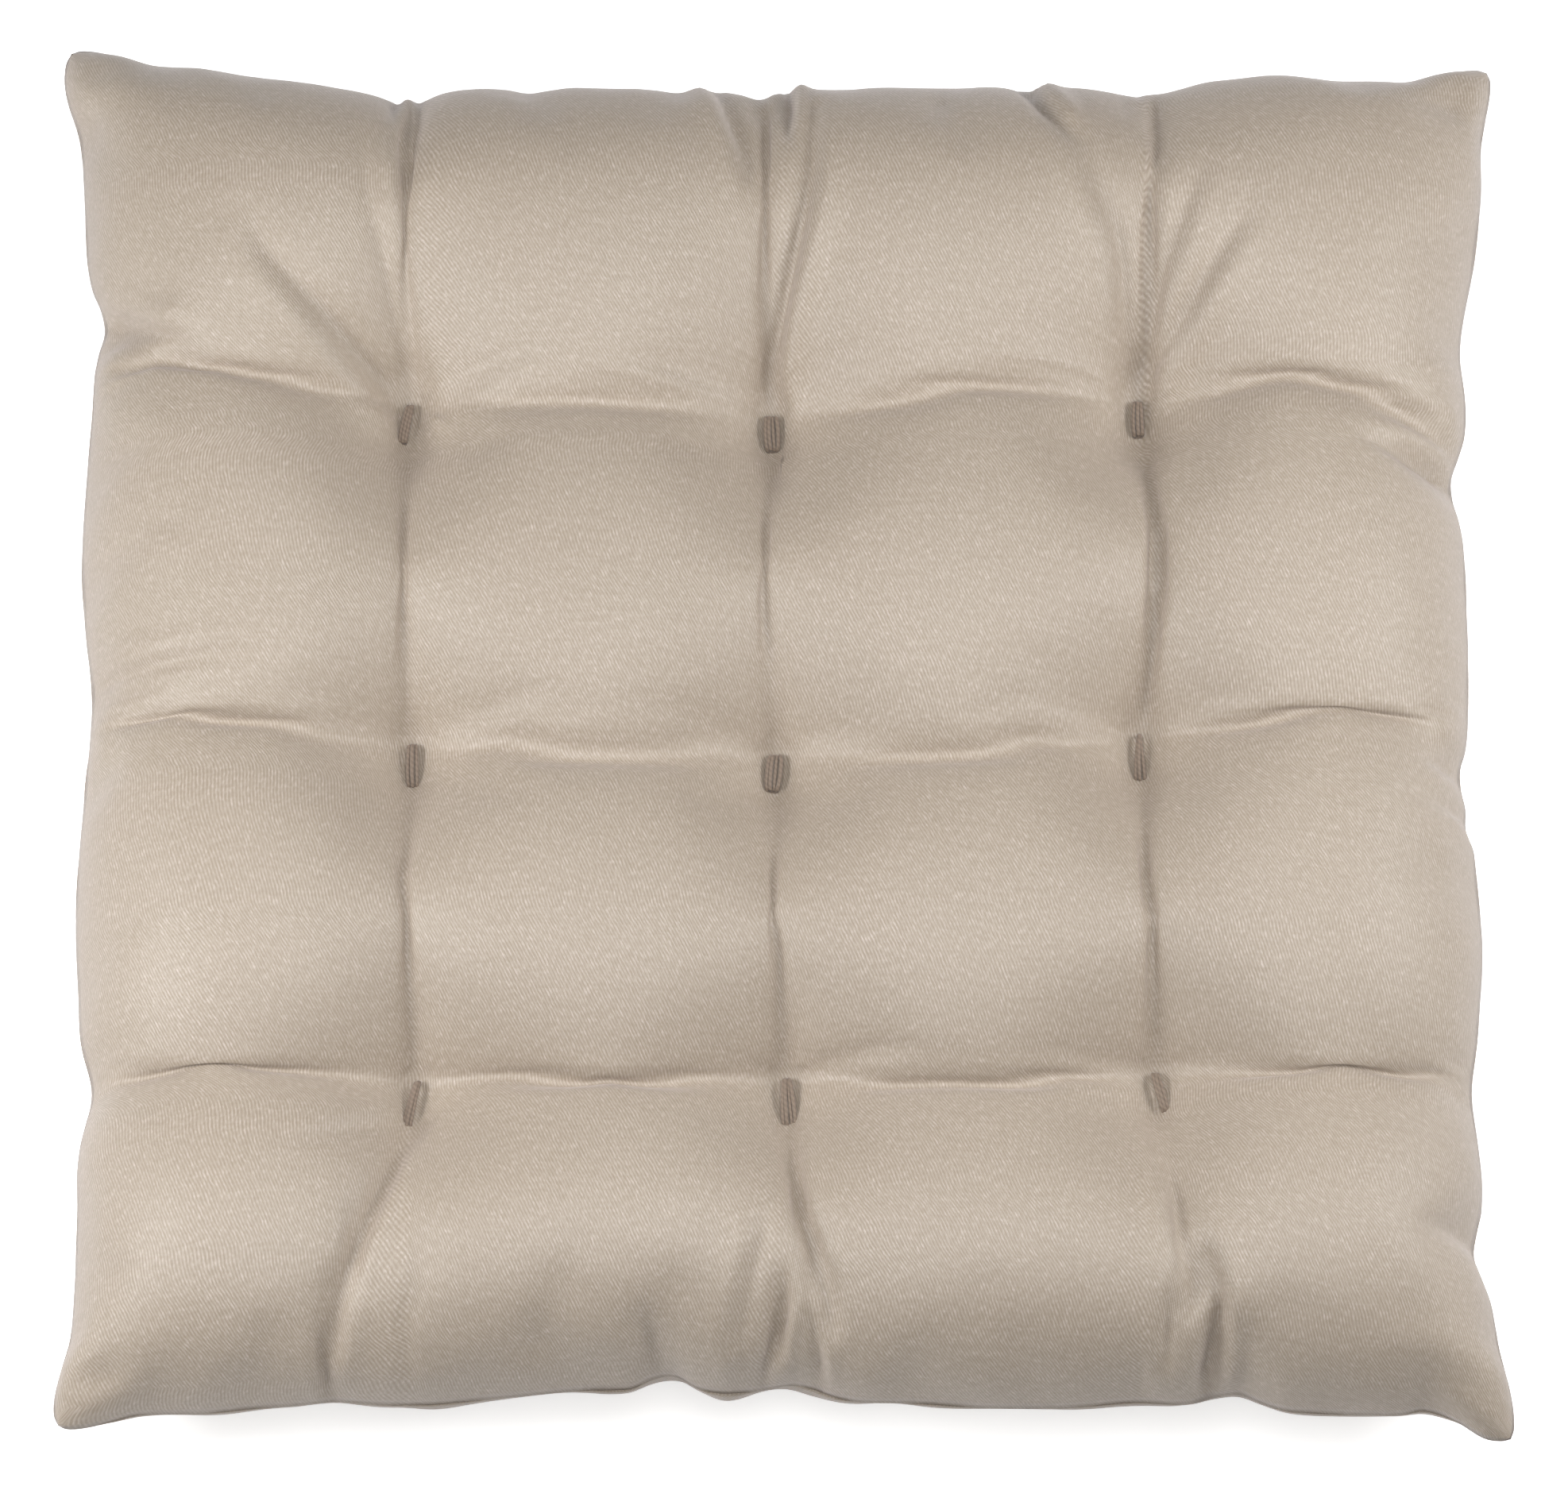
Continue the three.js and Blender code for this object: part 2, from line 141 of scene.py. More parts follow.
# Valleys between the puffs, from tuft to tuft, and from the outer tufts towards the seam: the guide
# line, the depth of the wide valley, the depth of the crease along its bottom, and how much of the
# crease there is at its start and its end, where 1 is as much as at its middle.
VALLEYS = [
    # along the rows, from left to right
    dict(line=[(-.187, .1148), (-.168, .1022), (-.150, .0974), (-.128, .0939), (-.102, .0936)],
         depth=.0118, crease=.0009, ends=(.6, .9)),
    dict(line=[(-.102, .0936), (-.080, .0896), (-.055, .0891), (-.030, .0875), (-.002, .0895)],
         depth=.0118, crease=.0008, ends=(.9, .9)),
    dict(line=[(-.002, .0895), (.020, .0876), (.042, .0902), (.062, .0932), (.080, .0932),
               (.100, .0947)],
         depth=.0118, crease=.0009, ends=(.9, .9)),
    dict(line=[(.100, .0947), (.118, .0933), (.138, .0956), (.158, .0932), (.177, .0872),
               (.190, .0801)],
         depth=.0118, crease=.0010, ends=(.9, .5)),
    dict(line=[(-.175, -.0034), (-.150, -.0059), (-.125, -.0084), (-.101, -.0076)],
         depth=.0115, crease=.0007, ends=(.1, .9)),
    dict(line=[(-.101, -.0076), (-.078, -.0123), (-.050, -.0133), (-.022, -.0133), (.000, -.0107)],
         depth=.0150, crease=.0008, ends=(.9, .9)),
    dict(line=[(.000, -.0107), (.022, -.0143), (.049, -.0150), (.075, -.0112), (.100, -.0050)],
         depth=.0135, crease=.0008, ends=(.9, .9)),
    dict(line=[(.100, -.0046), (.124, -.0064), (.148, -.0039), (.172, -.0036)],
         depth=.0115, crease=.0008, ends=(.9, .1)),
    dict(line=[(-.190, -.1048), (-.159, -.1063), (-.126, -.1061), (-.099, -.1053)],
         depth=.0165, crease=.0004, ends=(.5, .9)),
    dict(line=[(-.099, -.1053), (-.076, -.1064), (-.056, -.1084), (-.036, -.1084), (.002, -.1044)],
         depth=.0200, crease=.0004, ends=(.9, .9)),
    dict(line=[(.003, -.1044), (.022, -.1074), (.044, -.1103), (.066, -.1084), (.103, -.1033)],
         depth=.0200, crease=.0004, ends=(.9, .9)),
    dict(line=[(.104, -.1033), (.127, -.1051), (.157, -.1064), (.192, -.1036)],
         depth=.0165, crease=.0004, ends=(.9, .4)),
    # along the columns, from rear to front
    dict(line=[(-.104, .1827), (-.104, .1573), (-.103, .1262), (-.102, .0977)],
         depth=.0062, crease=.0008, ends=(.6, .9)),
    dict(line=[(-.102, .0815), (-.1035, .0574), (-.103, .0294), (-.102, .0074), (-.101, -.0066)],
         depth=.0085, crease=.0007, ends=(2.4, 1.6)),
    dict(line=[(-.101, -.0186), (-.102, -.0496), (-.101, -.0736), (-.099, -.1043)],
         depth=.0085, crease=.0007, ends=(2.0, 1.8)),
    dict(line=[(-.003, .1784), (-.003, .1364), (-.003, .1139), (-.002, .0956)],
         depth=.0070, crease=.0008, ends=(.5, .9)),
    dict(line=[(-.001, .0784), (-.003, .0543), (-.003, .0293), (-.002, .0073), (.000, -.0097)],
         depth=.0080, crease=.0006, ends=(2.4, 0.8)),
    dict(line=[(.000, -.0217), (-.001, -.0497), (.000, -.0736), (.003, -.1044)],
         depth=.0080, crease=.0005, ends=(2.0, 1.8)),
    dict(line=[(.105, .1827), (.104, .1365), (.103, .1139), (.101, .0977)],
         depth=.0058, crease=.0004, ends=(.1, 1)),
    dict(line=[(.101, .0836), (.104, .0604), (.105, .0444), (.104, .0214), (.101, -.0036)],
         depth=.0090, crease=.0033, ends=(.8, .9)),
    dict(line=[(.101, -.0166), (.101, -.0436), (.103, -.0735), (.104, -.1023)],
         depth=.0085, crease=.0012, ends=(1.5, 1.2)),
    dict(line=FRONT_LEFT, depth=.0060, crease=.0003, ends=(.5, .5)),
    dict(line=FRONT_CENTRE, depth=.0050, crease=.0003, ends=(.5, .5)),
    dict(line=FRONT_RIGHT, depth=.0050, crease=.0003, ends=(.5, .5)),
]

# Folds pressed into the top panel: the guide line, the depth of the fold, its half width, the
# height of the lip beside it, the side that the lip is on (1 is left of the line's direction, -1 is
# right), and how much of the fold there is at its start and its end. A negative depth is a ridge.
FOLDS = [
    # the long fold to the rear left corner and the softer one beside it
    dict(line=[(-.147, .1432), (-.141, .1297), (-.124, .1121), (-.113, .1018), (-.103, .0947)],
         depth=.0038, width=.0048, lip=.0020, side=-1, ends=(.1, .9)),
    dict(line=[(-.116, .1657), (-.113, .1479), (-.109, .1293), (-.103, .1018)],
         depth=.0022, width=.0046, lip=.0014, side=1, ends=(.2, .8)),
    # folds that run in from the rear seam
    dict(line=[(-.1065, .1935), (-.107, .1848), (-.108, .172)],
         depth=.0032, width=.0022, lip=.0012, side=1, ends=(1, .1)),
    dict(line=[(-.101, .1891), (-.101, .1763), (-.103, .1573), (-.104, .1396)],
         depth=.0026, width=.0028, lip=.0016, side=-1, ends=(.8, .1)),
    dict(line=[(-.017, .1913), (-.013, .1773), (-.009, .1625), (-.007, .1468)],
         depth=.0030, width=.0030, lip=.0014, side=-1, ends=(.9, .1)),
    dict(line=[(.0025, .1956), (.003, .1827), (.003, .1656)],
         depth=.0040, width=.0022, lip=.0016, side=1, ends=(1, .1)),
    dict(line=[(.010, .1784), (.009, .153), (.005, .1323), (.001, .1159), (-.0015, .1017),
               (-.0016, .0936)],
         depth=.0040, width=.0030, lip=.0022, side=1, ends=(.3, .8)),
    dict(line=[(.069, .1956), (.074, .1805), (.083, .1635)],
         depth=.0042, width=.0028, lip=.0018, side=1, ends=(1, .1)),
    dict(line=[(.085, .1699), (.090, .1499), (.096, .1344), (.098, .1139), (.100, .0997)],
         depth=.0025, width=.0040, lip=.0014, side=-1, ends=(.3, .7)),
    dict(line=[(.105, .1657), (.104, .1365), (.103, .1139), (.101, .0977)],
         depth=.0013, width=.0028, lip=.0008, side=1, ends=(.1, .9)),
    dict(line=[(.119, .1573), (.111, .1376), (.106, .1211), (.102, .1017)],
         depth=.0020, width=.0034, lip=.0014, side=1, ends=(.1, .8)),
    dict(line=[(.132, .1429), (.121, .1274), (.111, .112), (.103, .0997)],
         depth=.0024, width=.0036, lip=.0016, side=1, ends=(.1, .8)),
    # ridges above the first row's valleys, and folds in from the side seams
    dict(line=[(-.058, .0996), (-.040, .0961), (-.024, .0936), (-.010, .091)],
         depth=-.0014, width=.0030, lip=0, side=1, ends=(.1, .4)),
    dict(line=[(.052, .1007), (.068, .1017), (.084, .1007), (.094, .0977)],
         depth=-.0012, width=.0036, lip=0, side=1, ends=(.1, .4)),
    dict(line=[(-.192, .1226), (-.184, .1174), (-.174, .1106), (-.163, .106)],
         depth=.0040, width=.0036, lip=.0020, side=1, ends=(1, .1)),
    dict(line=[(.162, .0777), (.172, .0758), (.182, .0735), (.192, .072)],
         depth=.0046, width=.0034, lip=.0024, side=1, ends=(.1, 1)),
    dict(line=[(.165, .0879), (.180, .0839), (.191, .0789)],
         depth=.0020, width=.0040, lip=.0010, side=1, ends=(.1, .8)),
    dict(line=[(-.194, .0127), (-.178, .0106), (-.160, .011), (-.140, .0119)],
         depth=.0016, width=.0030, lip=.0008, side=1, ends=(1, .1)),
    dict(line=[(.194, -.0138), (.186, -.0137), (.178, -.0144)],
         depth=.0020, width=.0026, lip=.0008, side=1, ends=(1, .1)),
    dict(line=[(.194, -.0268), (.187, -.0266), (.180, -.0267)],
         depth=.0012, width=.0022, lip=.0006, side=1, ends=(1, .1)),
    dict(line=[(.195, -.1495), (.185, -.1502), (.174, -.1518)],
         depth=.0022, width=.0040, lip=.0008, side=1, ends=(1, .1)),
    # folds from the front row of tufts down to the front seam
    dict(line=FRONT_LEFT, depth=.0023, width=.0026, lip=.0014, side=1, ends=(.5, .5)),
    dict(line=[(-.124, -.1797), (-.1235, -.188), (-.121, -.1973)],
         depth=.0032, width=.0020, lip=.0012, side=-1, ends=(.2, 1)),
    dict(line=[(-.133, -.1316), (-.118, -.1249), (-.102, -.1171)],
         depth=.0016, width=.0034, lip=.0010, side=1, ends=(.1, .8)),
    dict(line=FRONT_CENTRE, depth=.0020, width=.0024, lip=.0014, side=1, ends=(.2, .3)),
    dict(line=[(-.002, -.150), (-.006, -.166), (-.010, -.182)],
         depth=.0012, width=.0034, lip=.0010, side=-1, ends=(.2, .8)),
    dict(line=[(.003, -.1660), (.001, -.1800), (-.005, -.1936)],
         depth=.0026, width=.0020, lip=.0012, side=1, ends=(.1, 1)),
    dict(line=[(.0085, -.1750), (.011, -.1850), (.012, -.1945)],
         depth=.0022, width=.0018, lip=.0010, side=1, ends=(.1, 1)),
    dict(line=[(-.038, -.1741), (-.034, -.1825), (-.030, -.1918)],
         depth=.0024, width=.0040, lip=.0008, side=1, ends=(.1, 1)),
    dict(line=FRONT_RIGHT, depth=.0011, width=.0030, lip=.0010, side=-1, ends=(.4, .3)),
    dict(line=[(.116, -.1588), (.1195, -.1703), (.120, -.1815), (.117, -.1964)],
         depth=.0050, width=.0026, lip=.0020, side=1, ends=(.1, 1)),
]

# ------------------------------------------------------------------------------ start shape

def bump(distance, half_width):
    """1 at no distance, falling smoothly to 0."""
    return np.exp(-(distance / half_width) ** 2)


def ease(t):
    """Rises smoothly from 0 to 1."""
    t = np.clip(t, 0, 1)
    return t * t * (3 - 2 * t)


def lattice_line(n):
    """Lattice places from -1 to 1, crowded together at the three valleys and towards the seam."""
    even = np.linspace(-1, 1, 2001)
    crowding, half_width = SEAM_CROWDING
    density = 1 + crowding * bump(np.abs(even) - 1, half_width)
    crowding, half_width = VALLEY_CROWDING
    for valley in VALLEY_LINES:
        density += crowding * bump(even - valley, half_width)
    passed = np.concatenate([[0], np.cumsum((density[1:] + density[:-1]) / 2)])
    line = np.interp(np.linspace(0, passed[-1], CELLS + 1), passed, even)
    line = (line - line[::-1]) / 2
    return line if n == CELLS else refine(line[:, None], FINE, 0)[:, 0]


def round_corners(x, y, u, v):
    """Draws the four corners in to a small radius."""
    longer = np.maximum(np.abs(u), np.abs(v))
    slope = np.minimum(np.abs(u), np.abs(v)) / np.maximum(longer, 1e-9)
    core = 1 - CORNER_SHARE
    total = core * (1 + slope)
    square = 1 + slope ** 2
    inside = total ** 2 - square * (2 * core ** 2 - CORNER_SHARE ** 2)
    reach = np.where(slope < core, 1, (total + np.sqrt(np.maximum(inside, 0))) / square)
    keep = 1 + (reach - 1) * longer ** 8
    return x * keep, y * keep


def seam_plan(u, v):
    """Where the point (u, v) of the square from -1 to 1 lies in plan."""
    x = u * HALF_X
    y = v * HALF_Y
    along = {"left": y, "right": y, "front": x, "rear": x}
    near = {"left": np.clip(-u, 0, 1) ** 10, "right": np.clip(u, 0, 1) ** 10,
            "front": np.clip(-v, 0, 1) ** 10, "rear": np.clip(v, 0, 1) ** 10}
    drawn = {side: np.zeros_like(x) for side in along}
    for side, notches in NOTCHES.items():
        for where, depth, half_width in notches:
            drawn[side] += depth * bump(along[side] - where, half_width) * near[side]
    x = x + drawn["left"] - drawn["right"]
    y = y + drawn["front"] - drawn["rear"]
    for (sx, sy), (reach_x, reach_y) in EARS.items():
        x = x + sx * reach_x * np.clip(u * sx, 0, 1) ** 5 * np.clip(v * sy, 0, 1) ** 7
        y = y + sy * reach_y * np.clip(u * sx, 0, 1) ** 7 * np.clip(v * sy, 0, 1) ** 5
    for (sx, sy), (reach_x, reach_y) in NUBS.items():
        point = ease((u * sx - 0.88) / 0.07) * ease((v * sy - 0.88) / 0.07)
        x = x + sx * reach_x * point
        y = y + sy * reach_y * point
    return round_corners(x, y, u, v)


def wall_rise(u, v):
    """0 at the seam, 1 where the side wall has finished curving."""
    rise = 1.0
    for a in (u, v):
        left = 1 - np.minimum(1, (1 - np.abs(a)) * HALF_X / WALL_REACH)
        rise = rise * np.sqrt(np.maximum(0, 1 - left ** 2))
    return rise


def bar_distance(x, y, tuft):
    """Distance to a tuft's bar, which runs forwards from its tuft point."""
    _, tx, ty = tuft
    along = np.clip(ty - y, 0, BAR_LENGTH)
    return np.hypot(x - tx, y - (ty - along))


def nearest_bar(x, y):
    """Distance to the nearest of the nine bars."""
    return np.min([bar_distance(x, y, tuft) for tuft in TUFTS], axis=0)


def tuft_pull(x, y, reach):
    """1 on a tuft's bar, falling to 0 away from all of them."""
    free = np.ones_like(x)
    for tuft in TUFTS:
        away = np.maximum(0, bar_distance(x, y, tuft) - 0.002)
        free = free * (1 - np.exp(-away / reach))
    return 1 - free


def line_distance(x, y, path):
    """Distance in plan from each point to a guide line."""
    nearest = np.full(x.shape, 1e9)
    for (ax, ay), (bx, by) in zip(path[:-1], path[1:]):
        length = (bx - ax) ** 2 + (by - ay) ** 2
        t = np.clip(((x - ax) * (bx - ax) + (y - ay) * (by - ay)) / length, 0, 1)
        nearest = np.minimum(nearest, np.hypot(x - ax - t * (bx - ax), y - ay - t * (by - ay)))
    return nearest


def valley_depth(x, y):
    """How far the valleys between the puffs lie below their crowns."""
    total = np.zeros_like(x)
    for valley in VALLEYS:
        nearest = line_distance(x, y, smooth_line(valley["line"]))
        slope = np.clip(1 - nearest / VALLEY_REACH, 0, 1) ** VALLEY_POWER
        total += (valley["depth"] * slope) ** 3
    return total ** (1 / 3)


def start_shape():
    """Both panels before they are blown up, on lattices that share the seam."""
    line = lattice_line(CELLS)
    u, v = np.meshgrid(line, line)
    x, y = seam_plan(u, v)
    rise = wall_rise(u, v)
    pull = tuft_pull(x, y, TOP_PULL_REACH)
    puffs = CROWN_Z - valley_depth(x, y) * np.sqrt(np.clip(rise, 0, 1))
    top_z = SEAM_Z + rise * ((puffs - SEAM_Z) * (1 - pull) + (TUFT_TOP_Z - SEAM_Z) * pull)
    lifted = UNDERSIDE_DROP - SEAM_Z + TUFT_BOTTOM_Z
    hang = UNDERSIDE_DROP - lifted * tuft_pull(x, y, BOTTOM_PULL_REACH)
    top = np.stack([x, y, top_z], -1)
    bottom = np.stack([x, y, SEAM_Z - rise * hang], -1)
    return top, bottom


def lattice_faces(index, flip):
    """The four-cornered faces between the points that a lattice of indices names."""
    a, b = index[:-1, :-1].ravel(), index[:-1, 1:].ravel()
    c, d = index[1:, 1:].ravel(), index[1:, :-1].ravel()
    return np.stack([a, d, c, b] if flip else [a, b, c, d], -1)


def simulate_pillow():
    """Blows the pillow up with Blender's cloth and gives back both panels as point lattices."""
    top, bottom = start_shape()
    rim = np.ones((CELLS + 1, CELLS + 1), bool)
    rim[1:-1, 1:-1] = False
    top_index = np.arange(rim.size).reshape(rim.shape)
    bottom_index = top_index.copy()
    bottom_index[~rim] = rim.size + np.arange((~rim).sum())
    points = np.concatenate([top.reshape(-1, 3), bottom[~rim]])
    faces = np.concatenate([lattice_faces(top_index, False), lattice_faces(bottom_index, True)])
    mesh = bpy.data.meshes.new("pillow")
    mesh.from_pydata(points.tolist(), [], faces.tolist())
    pillow = bpy.data.objects.new("pillow", mesh)
    bpy.context.scene.collection.objects.link(pillow)

    held = rim | (nearest_bar(top[..., 0], top[..., 1]) < HELD_RADIUS)
    group = pillow.vertex_groups.new(name="held")
    group.add(sorted(set(top_index[held].tolist() + bottom_index[held].tolist())), 1.0, "REPLACE")

    cloth = pillow.modifiers.new("cloth", "CLOTH")
    settings = cloth.settings
    settings.quality = 6
    settings.mass = 0.05
    settings.tension_stiffness = 30
    settings.compression_stiffness = 18
    settings.shear_stiffness = 8
    settings.bending_stiffness = 3
    settings.air_damping = 1
    settings.vertex_group_mass = "held"
    settings.shrink_min = FULLNESS
    settings.shrink_max = FULLNESS
    settings.use_pressure = True
    settings.uniform_pressure_force = PRESSURE
    settings.effector_weights.gravity = 0
    cloth.point_cache.frame_start = 1
    cloth.point_cache.frame_end = FRAMES
    for frame in range(1, FRAMES + 1):
        bpy.context.scene.frame_set(frame)
    shape = pillow.evaluated_get(bpy.context.evaluated_depsgraph_get()).to_mesh()
    settled = np.empty(len(shape.vertices) * 3)
    shape.vertices.foreach_get("co", settled)
    settled = settled.reshape(-1, 3)
    bpy.context.scene.frame_set(1)
    bpy.data.objects.remove(pillow)
    return settled[top_index], settled[bottom_index]


# -------------------------------------------------------------------------- lattice shaping

def around(points):
    """The mean of each inner point's four neighbours."""
    return (points[:-2, 1:-1] + points[2:, 1:-1] + points[1:-1, :-2] + points[1:-1, 2:]) / 4


def relax(points, times):
    """Smooths a lattice of points. The rim and the tuft bars stay."""
    nearest = nearest_bar(points[..., 0], points[..., 1])
    free = np.clip((nearest - RELAX_RADIUS) / RELAX_RADIUS, 0, 1)[1:-1, 1:-1, None]
    for _ in range(times):
        middle = points[1:-1, 1:-1]
        moved = points.copy()
        moved[1:-1, 1:-1] = middle + 0.6 * free * (around(points) - middle)
        points = moved
    return points


def refine(points, times, axis):
    """Divides a lattice's cells along one axis, on a cubic through the points."""
    p = np.moveaxis(points, axis, 0)
    before = np.concatenate([2 * p[:1] - p[1:2], p[:-2]])
    after = np.concatenate([p[2:], 2 * p[-1:] - p[-2:-1]])
    rows = []
    for step in range(times):
        t = step / times
        rows.append(0.5 * (2 * p[:-1] + (p[1:] - before) * t
                           + (2 * before - 5 * p[:-1] + 4 * p[1:] - after) * t ** 2
                           + (3 * p[:-1] - before - 3 * p[1:] + after) * t ** 3))
    fine = np.stack(rows, 1).reshape(-1, *p.shape[1:])
    return np.moveaxis(np.concatenate([fine, p[-1:]]), 0, axis)


def normals(points):
    """The direction that each point of a lattice faces."""
    across = np.gradient(points, axis=1)
    along = np.gradient(points, axis=0)
    normal = np.cross(across, along)
    return normal / np.maximum(np.linalg.norm(normal, axis=-1, keepdims=True), 1e-12)


def smooth_line(points, steps=6):
    """A rounded line through the given points."""
    return refine(np.array(points, float)[:, None, :], steps, 0)[:, 0, :]


def fold_height(x, y, line, depth, width, lip, side, ends):
    """Height that a fold adds at each point: a groove along the line, with a lip beside it."""
    path = smooth_line(line)
    starts, steps = path[:-1], np.diff(path, axis=0)
    lengths = np.linalg.norm(steps, axis=1)
    total = lengths.sum()
    reached = np.concatenate([[0], np.cumsum(lengths)[:-1]])
    height = np.zeros_like(x)
    margin = 4 * width
    low, high = path.min(0) - margin, path.max(0) + margin
    near = (x > low[0]) & (x < high[0]) & (y > low[1]) & (y < high[1])
    px, py = x[near], y[near]
    best = np.full(px.shape, 1e9)
    where = np.zeros(px.shape)
    left = np.zeros(px.shape)
    for start, step, length, done in zip(starts, steps, lengths, reached):
        t = np.clip(((px - start[0]) * step[0] + (py - start[1]) * step[1]) / length ** 2, 0, 1)
        dx, dy = px - start[0] - t * step[0], py - start[1] - t * step[1]
        distance = np.hypot(dx, dy)
        closer = distance < best
        best = np.where(closer, distance, best)
        where = np.where(closer, (done + t * length) / total, where)
        left = np.where(closer, np.sign(step[0] * dy - step[1] * dx), left)
    quarters = [end + 0.58 * (1 - end) for end in ends]
    fade = np.interp(where, [0, 0.25, 0.5, 0.75, 1], [ends[0], quarters[0], 1, quarters[1], ends[1]])
    beside = best * left * side
    groove = np.exp(-(np.hypot(best, FOLD_FLOOR) - FOLD_FLOOR) / (0.75 * width))
    height[near] = fade * (lip * bump(beside - 1.7 * width, 1.2 * width) - depth * groove)
    return height


def seam_roll(n):
    """How far each lattice point is from the seam, in metres of cloth."""
    line = lattice_line(n)
    u, v = np.meshgrid(line, line)
    return (1 - np.maximum(np.abs(u), np.abs(v))) * HALF_X, u, v


def blend_tufts(points):
    """Smooths the cloth round the tufts, so that it runs down to them without a step."""
    weight = 0.7 * bump(nearest_bar(points[..., 0], points[..., 1]), 0.013)[1:-1, 1:-1, None]
    for _ in range(40):
        points[1:-1, 1:-1, 2:] += weight * (around(points) - points[1:-1, 1:-1])[..., 2:]
    return points


def shape_panels():
    """The finished lattices of both panels, and how much painted shade the top one gets in its folds.
    """
    top, bottom = simulate_pillow()
    top = relax(top, 1)
    bottom = relax(bottom, 3)
    for axis in (0, 1):
        top = refine(top, FINE, axis)
        bottom = refine(bottom, FINE, axis)
    from_seam, u, v = seam_roll(CELLS * FINE)
    free = np.clip(from_seam / SEAM_CLEAR, 0, 1)
    top = blend_tufts(top)

    lift = np.zeros(top.shape[:2])
    for fold in FOLDS:
        lift += fold_height(top[..., 0], top[..., 1], **fold)
    for valley in VALLEYS:
        lift += fold_height(top[..., 0], top[..., 1], valley["line"], valley["crease"], CREASE_WIDTH,
                            0, 1, valley["ends"])
    near_bar = nearest_bar(top[..., 0], top[..., 1])
    clear = 1 - bump(near_bar, BAR_CLEAR)
    # Painted shade: the deeper a fold or crease runs, the darker the cloth is coloured there, except
    # beside the bars
    crease_shade = np.clip((-lift - SHADED_FROM) / SHADED_SPAN, 0, 1) * clear
    lift = DEEPEST_FOLD * np.tanh(lift / DEEPEST_FOLD)
    lift = lift * clear - TUFT_PULL * np.exp(-near_bar / TUFT_REACH)
    top = top + (lift * free)[..., None] * normals(top)

    # the underside lies flat where it meets the seat
    height = bottom[..., 2]
    sunk = np.maximum(0, FLAT_BELOW - height)
    height = np.maximum(height, FLAT_BELOW) - FLAT_BELOW * (1 - np.exp(-sunk / FLAT_SOFTNESS))
    bottom[..., 2] = np.maximum(height, 0)
    return pucker_seam(top, 1, from_seam, u, v), pucker_seam(bottom, -1, from_seam, u, v), crease_shade


def pucker_seam(points, side, from_seam, u, v):
    """Turns the cloth in at the seam, and gathers it in small waves beside it."""
    points = points.copy()
    x, y = points[..., 0].copy(), points[..., 1].copy()
    outward = np.stack([np.where(np.abs(u) >= np.abs(v), np.sign(u), 0),
                        np.where(np.abs(v) >= np.abs(u), np.sign(v), 0)], -1)
    corner = np.clip(np.minimum(np.abs(u), np.abs(v)) * 12 - 11, 0, 1)[..., None]
    outward = outward * (1 - corner) + corner * np.stack([np.sign(u), np.sign(v)], -1) * 0.7071
    s = np.where(np.abs(u) >= np.abs(v), y, x)
    wave = (np.sin(s / 0.0061 + 2.1 * np.sin(s / 0.031) + 1.3 * side)
            + 0.6 * np.sin(s / 0.0037 + 1.7 * np.sin(s / 0.019)))
    closing = ((v < -0.9) & (np.abs(u) < 0.95)) * np.clip(1.2 - np.abs((x + 0.02) / 0.075), 0, 1)
    gather = (GATHER + CLOSING_GATHER * closing) * wave * bump(from_seam - GATHER_AT, GATHER_AT)
    tucked = TUCK * bump(from_seam, TUCK_REACH)
    points[..., :2] += outward * (gather - tucked)[..., None]
    return points


# --------------------------------------------------------------------------- mesh building

def add_mesh(name, points, faces, smooth=True):
    """A mesh object of the given points and faces, linked to the scene."""
    mesh = bpy.data.meshes.new(name)
    mesh.from_pydata(np.asarray(points).tolist(), [], [list(map(int, f)) for f in faces])
    if smooth:
        mesh.polygons.foreach_set("use_smooth", [True] * len(mesh.polygons))
    mesh.update()
    piece = bpy.data.objects.new(name, mesh)
    bpy.context.scene.collection.objects.link(piece)
    return piece


def rim_path(points):
    """The outer row of a lattice, once round."""
    return np.concatenate([points[0, :-1], points[:-1, -1], points[-1, :0:-1], points[:0:-1, 0]])


def rim_indices(n):
    """The indices of the points that rim_path takes from a lattice of n cells a side."""
    index = np.arange((n + 1) ** 2).reshape(n + 1, n + 1)
    return np.concatenate([index[0, :-1], index[:-1, -1], index[-1, :0:-1], index[:0:-1, 0]])


def panel(name, points, side):
    """One panel with its seam allowance turned in."""
    n = points.shape[0] - 1
    faces = [lattice_faces(np.arange((n + 1) ** 2).reshape(n + 1, n + 1), side < 0)]
    rim = rim_indices(n)
    ring = rim_path(points)
    all_points = [points.reshape(-1, 3)]
    last = rim
    for inset in ALLOWANCE_RINGS:
        turned = ring * [1 - inset / HALF_X, 1 - inset / HALF_Y, 1] + [0, 0, 0.0004 * side]
        index = sum(map(len, all_points)) + np.arange(len(turned))
        ahead, ahead_new = np.roll(last, -1), np.roll(index, -1)
        strip = np.stack([last, index, ahead_new, ahead], -1)
        faces.append(strip if side > 0 else strip[:, ::-1])
        all_points.append(turned)
        last = index
    return add_mesh(name, np.concatenate(all_points), np.concatenate(faces))


